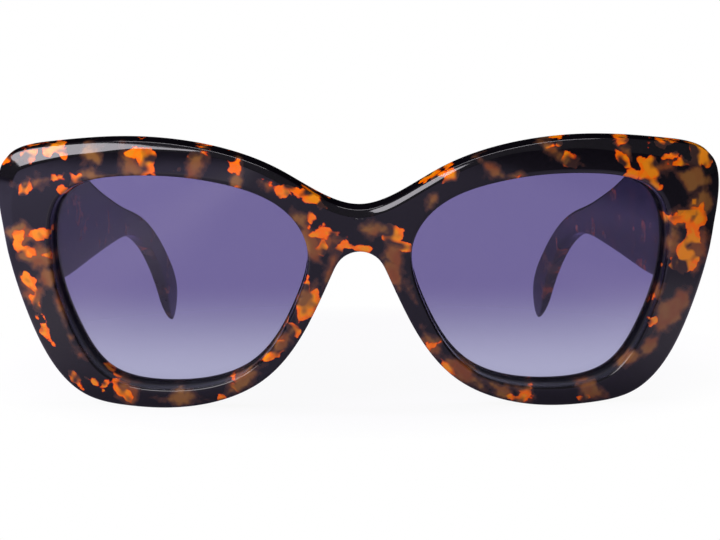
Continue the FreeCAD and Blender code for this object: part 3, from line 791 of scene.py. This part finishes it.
class Finish(Nodes):
    """A material's nodes: one main shader, joined to the output."""

    def __init__(self, name):
        self.material = bpy.data.materials.new(name)
        self.material.use_nodes = True
        super().__init__(self.material.node_tree, "ShaderNodeOutputMaterial")
        self.shader = self.add("ShaderNodeBsdfPrincipled")
        self.put(self.output.inputs[0], self.shader.outputs[0])

    def bump(self, height, strength, distance):
        node = self.add("ShaderNodeBump", {"Strength": strength, "Distance": distance, "Height": height})
        self.put(self.shader.inputs["Normal"], node.outputs[0])

    def set(self, **values):
        """Constant or joined values of the main shader, by socket name."""
        for name, value in values.items():
            self.put(self.shader.inputs[name.replace("_", " ")], value)


def colour(red, green, blue):
    """A colour given in 0 to 255 display steps, as the linear one that a shader takes."""
    steps = np.array([red, green, blue]) / 255
    linear = np.where(steps <= 0.04045, steps / 12.92, ((steps + 0.055) / 1.055) ** 2.4)
    return (*linear.tolist(), 1.0)


CELL_MEAN = 0.92  # usual distance inside the large cells
CELL_PUSH = 1.25  # how far they push a chip's outline, millimetres
CRYSTAL_MEAN = 0.8
CRYSTAL_PUSH = 0.55
# Soft edge and strength of the painted glints of the hinge anchors
ANCHOR_BLUR = 0.15
ANCHOR_GLINT = 0.7


def acetate(name, settings, drawn=False):
    """Polished tortoiseshell: black sheet with smoky and amber chips whose sharp edges glow red.

    Drawn chips lie where the piece's attributes say, and the others come from noise. Small cells break
    the chips' outlines into crystals.
    """
    nodes = Finish(name)
    place = nodes.mapped(1000.0, (0.5, 0.9, 0.4))
    bent = nodes.moved(place, 1.2, 0.25)
    cells = nodes.chips(bent, 0.3)
    crystals = nodes.chips(nodes.moved(place, 0.3, 0.8), 0.75)
    broad = nodes.noise(bent, 0.15)
    fine = nodes.noise(place, 1.6)
    jag = nodes.maths("MULTIPLY", nodes.maths("SUBTRACT", CELL_MEAN, cells), CELL_PUSH)
    jag = nodes.maths("MULTIPLY_ADD", nodes.maths("SUBTRACT", CRYSTAL_MEAN, crystals), CRYSTAL_PUSH, jag)
    if drawn:
        amber = nodes.maths("ADD", nodes.attribute("amber"), jag)
        smoke = nodes.maths("ADD", nodes.attribute("smoke"), nodes.maths("MULTIPLY_ADD", jag, 1.1, 0.25))
    else:
        amber = nodes.maths("ADD", nodes.maths("MULTIPLY_ADD", broad, 9.0, settings.amber_share - 6.6), jag)
        smoke = nodes.maths("ADD", nodes.maths("MULTIPLY_ADD", broad, 7.0, settings.amber_share - 4.2), jag)
    dark = nodes.mix(nodes.ramp(fine, 0.3, 0.8), colour(7, 6, 10), colour(14, 11, 16))
    olive = nodes.mix(nodes.ramp(broad, 0.42, 0.58), colour(114, 60, 28), colour(122, 82, 38))
    haze = nodes.mix(nodes.ramp(smoke, 0.3, 1.8, True), colour(52, 33, 28), olive)
    body = nodes.mix(nodes.ramp(smoke, -0.3, 0.5, True), dark, haze)
    cloud = nodes.maths("SUBTRACT", nodes.noise(bent, 0.4), 0.5)
    depth = nodes.ramp(nodes.maths("MULTIPLY_ADD", cloud, 6.0, amber), 0.1, 1.5, True)
    glow = nodes.mix(depth, settings.amber, settings.gold)
    chip = nodes.mix(nodes.ramp(amber, -0.02, 0.22, True), settings.edge, glow)
    sunk = nodes.ramp(nodes.noise(place, 0.3, 1.0), 0.44, 0.6, True)
    body = nodes.mix(nodes.ramp(amber, -0.05, 0.05), body, nodes.mix(sunk, chip, haze))
    if drawn:
        # Painted glints of the hinge anchors: gold mixed into the colour over each listed box
        spot = nodes.axes(nodes.mapped(1000.0))
        for x, z, half_width, half_height in PAINTED_ANCHOR_GLINTS:
            outside = []
            for axis, middle, half in (("X", x, half_width), ("Z", z, half_height)):
                away = nodes.maths("ABSOLUTE", nodes.maths("SUBTRACT", spot[axis], middle))
                outside.append(nodes.maths("SUBTRACT", away, half))
            edge = nodes.ramp(nodes.maths("MAXIMUM", *outside), ANCHOR_BLUR, -ANCHOR_BLUR)
            body = nodes.mix(nodes.maths("MULTIPLY", edge, ANCHOR_GLINT), body, settings.gold)
    worn = nodes.worn_edges()
    scuffs = nodes.noise(nodes.mapped((300.0, 2600.0, 900.0)), 1.0, 4.0)
    rough = nodes.maths("MULTIPLY_ADD", scuffs, 0.07, settings.gloss)
    rough = nodes.maths("MULTIPLY_ADD", worn, 0.06, rough)
    if drawn:
        rough = nodes.maths("MAXIMUM", rough, nodes.attribute("sawn"))
    nodes.set(Base_Color=body, Roughness=rough, IOR=1.4)
    nodes.bump(nodes.noise(place, 0.2, 0.0), 0.04, 0.0003)
    return nodes.material


SMEAR_ROUGHNESS = 0.004


def lens_glass(settings):
    """Violet tint that fades to pale towards the foot of the lens, with faint smears."""
    nodes = Finish("graduated_lens")
    fade = nodes.ramp(nodes.axes(nodes.place())["Z"], settings.fade_foot, settings.fade_head, True)
    tint = nodes.mix(fade, settings.foot_tint, settings.head_tint)
    smear = nodes.noise(nodes.mapped(90.0), 1.0, 3.0)
    nodes.set(Base_Color=tint, Transmission_Weight=1.0, IOR=1.45)
    nodes.set(Roughness=nodes.maths("MULTIPLY", nodes.ramp(smear, 0.45, 0.8), SMEAR_ROUGHNESS))
    return nodes.material


def plated(name, tone, brushed):
    """Plated metal: brushed along its length, duller in the hollows and bright on worn edges."""
    nodes = Finish(name)
    grain = nodes.noise(nodes.mapped((800.0, 800.0, 9000.0)), 1.0, 4.0)
    worn = nodes.worn_edges()
    shadow = tuple(0.8 * part for part in tone[:3]) + (1.0,)
    shade = nodes.mix(nodes.ramp(grain, 0.3, 0.7), tone, shadow)
    nodes.set(Base_Color=nodes.mix(worn, shade, colour(236, 230, 220)), Metallic=1.0)
    nodes.set(Roughness=nodes.maths("MULTIPLY_ADD", grain, brushed, 0.16))
    nodes.bump(grain, 0.15, 0.00005)
    return nodes.material


def dress(piece, material):
    """Gives a piece its only material."""
    piece.data.materials.clear()
    piece.data.materials.append(material)


# ---- Sizes and colours that a user may change
class SunglassesAcetate(bpy.types.PropertyGroup):
    amber: bpy.props.FloatVectorProperty(
        name="Amber", description="Body of the clear chips", subtype="COLOR", size=4,
        default=colour(238, 106, 0), min=0, max=1,
    )
    gold: bpy.props.FloatVectorProperty(
        name="Gold", description="Pale parts of the clear chips", subtype="COLOR", size=4,
        default=colour(222, 132, 14), min=0, max=1,
    )
    edge: bpy.props.FloatVectorProperty(
        name="Edge", description="Glow where a clear chip meets the dark sheet", subtype="COLOR", size=4,
        default=colour(190, 44, 0), min=0, max=1,
    )
    gloss: bpy.props.FloatProperty(
        name="Polish", description="Roughness of the polished sheet", default=0.04, min=0, max=1,
    )
    amber_share: bpy.props.FloatProperty(
        name="Amber share", description="How much of the temples is clear", default=0.75, min=-4, max=6,
    )


class SunglassesLens(bpy.types.PropertyGroup):
    head_tint: bpy.props.FloatVectorProperty(
        name="Head tint", description="Colour of white light through the top of a lens", subtype="COLOR",
        size=4, default=colour(108, 98, 150), min=0, max=1,
    )
    foot_tint: bpy.props.FloatVectorProperty(
        name="Foot tint", description="Colour of white light through the foot of a lens", subtype="COLOR",
        size=4, default=colour(171, 171, 201), min=0, max=1,
    )
    fade_foot: bpy.props.FloatProperty(
        name="Fade ends", description="Height at which the tint is at its palest", unit="LENGTH",
        default=0.006, min=0, max=1,
    )
    fade_head: bpy.props.FloatProperty(
        name="Fade starts", description="Height above which the tint is even", unit="LENGTH",
        default=0.0265, min=0, max=1,
    )


class SunglassesStage(bpy.types.PropertyGroup):
    key_power: bpy.props.FloatProperty(
        name="Key light", description="Power of the soft light at the upper left", unit="POWER",
        default=10.0, min=0, max=1000,
    )
    fill: bpy.props.FloatProperty(
        name="Fill", description="Strength of the light from the front", default=0.36, min=0, max=10,
    )
    camera_place: bpy.props.FloatVectorProperty(
        name="Camera place", description="Where the camera stands, with the table at height 0",
        subtype="TRANSLATION", unit="LENGTH", size=3, default=(-0.0035, -0.4701, 0.0737),
    )
    camera_turns: bpy.props.FloatVectorProperty(
        name="Camera turns", description="Downwards, about the upright, and about its own axis",
        subtype="EULER", unit="ROTATION", size=3, default=np.radians([6.4, -0.5, -0.3]).tolist(),
    )
    camera_lens: bpy.props.FloatProperty(
        name="Focal length", description="Of the camera's lens, in millimetres", default=100.9,
        min=10, max=500,
    )


# ---- Operators
class SUNGLASSES_OT_front(bpy.types.Operator):
    """Makes the acetate front, both rims and bridge in one piece"""

    bl_idname = "sunglasses.front"
    bl_label = "Acetate front"

    def execute(self, context):
        piece = build_front()
        material = acetate("tortoiseshell_front", context.scene.sunglasses_acetate, True)
        dress(piece, material)
        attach(piece, "front_assembly")
        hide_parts("front")
        return {"FINISHED"}


class SUNGLASSES_OT_lenses(bpy.types.Operator):
    """Makes the two bowed, graduated lenses"""

    bl_idname = "sunglasses.lenses"
    bl_label = "Lenses"

    def execute(self, context):
        material = lens_glass(context.scene.sunglasses_lens)
        for side in SIDES:
            piece = build_lens("tinted_lens_" + side, side == "right")
            dress(piece, material)
            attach(piece, "front_assembly")
            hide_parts("lens_" + side)
        return {"FINISHED"}


class SUNGLASSES_OT_nose_pads(bpy.types.Operator):
    """Makes the two bonded nose pads"""

    bl_idname = "sunglasses.nose_pads"
    bl_label = "Nose pads"

    def execute(self, context):
        material = acetate("tortoiseshell_pads", context.scene.sunglasses_acetate)
        for side in SIDES:
            piece = build_pad("rounded_pad_" + side, side == "right")
            dress(piece, material)
            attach(piece, "front_assembly")
            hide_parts("nose_pad_" + side)
        return {"FINISHED"}


class SUNGLASSES_OT_temples(bpy.types.Operator):
    """Makes the two acetate temples"""

    bl_idname = "sunglasses.temples"
    bl_label = "Temples"

    def execute(self, context):
        material = acetate("tortoiseshell_temples", context.scene.sunglasses_acetate)
        for side in SIDES:
            piece = build_temple("acetate_temple_" + side, side == "right")
            dress(piece, material)
            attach(piece, side + "_temple_assembly")
            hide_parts("temple_" + side)
        return {"FINISHED"}


class SUNGLASSES_OT_metal(bpy.types.Operator):
    """Plates the hinges and screws and darkens the wire cores"""

    bl_idname = "sunglasses.metal"
    bl_label = "Hinges, screws and cores"

    def execute(self, context):
        plating = plated("nickel_plating", colour(196, 188, 172), 0.2)
        steel = plated("screw_steel", colour(176, 176, 178), 0.14)
        wire = plated("core_wire", colour(150, 146, 140), 0.24)
        finishes = {
            "front_hinge": plating, "temple_hinge": plating, "hinge_screw": steel, "temple_core": wire,
        }
        for kind, material in finishes.items():
            for side in SIDES:
                node = frame["nodes"][kind + "_" + side]
                for slot in node.material_slots:
                    slot.material = material
        return {"FINISHED"}


class SUNGLASSES_OT_stage(bpy.types.Operator):
    """Sets the floor, the lights and the camera"""

    bl_idname = "sunglasses.stage"
    bl_label = "Stage"

    def execute(self, context):
        settings = context.scene.sunglasses_stage
        make_floor()
        make_world(settings)
        for name, (place, size, target, share) in LAMPS.items():
            make_lamp(name, place, size, target, settings.key_power * share)
        make_camera(settings)
        context.scene.view_settings.view_transform = "Standard"
        return {"FINISHED"}


FLOOR_HALF = 3000.0
FLOOR_BLANK = 0.93  # share of plain white in the floor by the object, for the camera
LIGHT_SIDE = (-0.15, -0.93, 0.33)  # the world is brightest that way, and dark the other way
# Place, width and length, what it looks at, and share of the key light's power
LAMPS = {
    "key": ((-0.54, -0.57, 0.53), (0.95, 0.27), (-0.04, -0.07, 0.05), 1.0),
    "overhead": ((0.0, -0.09, 0.9), (0.75, 0.15), (0.0, -0.06, 0.0), 0.45),
}
LAMP_COLOUR = (0.97, 0.93, 1.0)


def make_floor():
    """A wide floor: white for the camera, apart from the shadow on it, and painted for reflections.

    For reflections and light its colour is painted: pale beside the object as painted light, and darker
    far off on the right as painted shade.
    """
    corners = np.array([(-1, -1, 0), (1, -1, 0), (1, 1, 0), (-1, 1, 0)]) * FLOOR_HALF
    floor = make_piece("floor", corners, np.array([[0, 1, 2, 3]]))
    nodes = Finish("white_floor")
    white = nodes.add("ShaderNodeEmission", {"Strength": 1.0})
    across = nodes.axes(nodes.place())["X"]
    away = nodes.vectors("LENGTH", nodes.place())["Value"]
    # Painted light and shade in the floor's colour: pale near the object and to its left, darker far to the
    # right
    beside = nodes.ramp(nodes.maths("ABSOLUTE", across), 0.05, 0.09, True)
    near = nodes.maths("MAXIMUM", nodes.ramp(away, 0.17, 0.13, True), nodes.ramp(across, 0.0, -0.05, True))
    tone = nodes.mix(nodes.maths("MULTIPLY", beside, near), colour(180, 172, 200), colour(246, 236, 255))
    tone = nodes.mix(nodes.ramp(across, -0.08, -0.15, True), tone, colour(200, 192, 230))
    tone = nodes.mix(nodes.ramp(across, 0.12, 0.22, True), tone, colour(96, 92, 106))
    nodes.set(Base_Color=tone, Roughness=0.9)
    blank = nodes.maths("ADD", nodes.ramp(away, 0.06, 0.3, True), FLOOR_BLANK, clamp=True)
    nodes.blended(nodes.maths("MULTIPLY", nodes.seen(), blank), nodes.shader, white)
    floor.data.materials.append(nodes.material)


def make_world(settings):
    """White where it is seen straight or through glass, and elsewhere a soft light from one side."""
    world = bpy.data.worlds.new("studio")
    bpy.context.scene.world = world
    world.use_nodes = True
    nodes = Nodes(world.node_tree, "ShaderNodeOutputWorld")
    way = nodes.add("ShaderNodeTexCoord").outputs["Generated"]
    share = nodes.ramp(nodes.vectors("DOT_PRODUCT", way, LIGHT_SIDE)["Value"], -0.5, 1.0)
    strength = nodes.maths("MULTIPLY", share, settings.fill)
    fill = nodes.add("ShaderNodeBackground", {"Color": colour(236, 232, 244), "Strength": strength})
    white = nodes.add("ShaderNodeBackground", {"Color": (1, 1, 1, 1)})
    nodes.blended(nodes.seen(), fill, white)


def aimed(thing, target):
    """Turns a lamp or camera so that it looks at a point."""
    way = Vector(target) - thing.location
    thing.rotation_euler = way.to_track_quat("-Z", "Y").to_euler()


def make_lamp(name, place, size, target, power):
    """A rectangular soft light."""
    light = bpy.data.lights.new(name, "AREA")
    light.shape = "RECTANGLE"
    light.size, light.size_y = size
    light.energy = power
    light.color = LAMP_COLOUR
    lamp = new_object(name, light)
    lamp.location = place
    aimed(lamp, target)


CAMERA_SHIFT = 0.0004  # of the picture's width


def make_camera(settings):
    """A level camera, tipped down, turned about the upright and rolled about its own axis."""
    data = bpy.data.cameras.new("camera")
    data.lens = settings.camera_lens
    data.sensor_width = 36.0
    data.shift_x = CAMERA_SHIFT
    data.clip_start = 0.01
    camera = new_object("camera", data)
    down, about, roll = settings.camera_turns
    camera.matrix_world = (
        Matrix.Translation(settings.camera_place) @ Matrix.Rotation(about, 4, "Z")
        @ Matrix.Rotation(math.pi / 2 - down, 4, "X") @ Matrix.Rotation(roll, 4, "Z")
    )
    bpy.context.scene.camera = camera


# ---- Panel and registration
OPERATORS = (
    SUNGLASSES_OT_front, SUNGLASSES_OT_lenses, SUNGLASSES_OT_nose_pads, SUNGLASSES_OT_temples,
    SUNGLASSES_OT_metal, SUNGLASSES_OT_stage,
)


class SUNGLASSES_PT_pieces(bpy.types.Panel):
    """Lists the pieces, in the order that they are made"""

    bl_idname = "SUNGLASSES_PT_pieces"
    bl_label = "Cat eye sunglasses"
    bl_space_type = "VIEW_3D"
    bl_region_type = "UI"
    bl_category = "Sunglasses"

    def draw(self, context):
        for group in GROUPS:
            settings = getattr(context.scene, group)
            for name in settings.bl_rna.properties.keys():
                if name not in ("rna_type", "name"):
                    self.layout.prop(settings, name)
        for operator in OPERATORS:
            self.layout.operator(operator.bl_idname)


GROUPS = {
    "sunglasses_acetate": SunglassesAcetate,
    "sunglasses_lens": SunglassesLens,
    "sunglasses_stage": SunglassesStage,
}
CLASSES = (*GROUPS.values(), *OPERATORS, SUNGLASSES_PT_pieces)


def register():
    for kind in CLASSES:
        bpy.utils.register_class(kind)
    for name, group in GROUPS.items():
        setattr(bpy.types.Scene, name, bpy.props.PointerProperty(type=group))


def unregister():
    for name in GROUPS:
        delattr(bpy.types.Scene, name)
    for kind in reversed(CLASSES):
        bpy.utils.unregister_class(kind)


def main():
    register()
    bpy.ops.sunglasses.front()
    bpy.ops.sunglasses.lenses()
    bpy.ops.sunglasses.nose_pads()
    bpy.ops.sunglasses.temples()
    bpy.ops.sunglasses.metal()
    bpy.ops.sunglasses.stage()


if __name__ == "__main__":
    main()
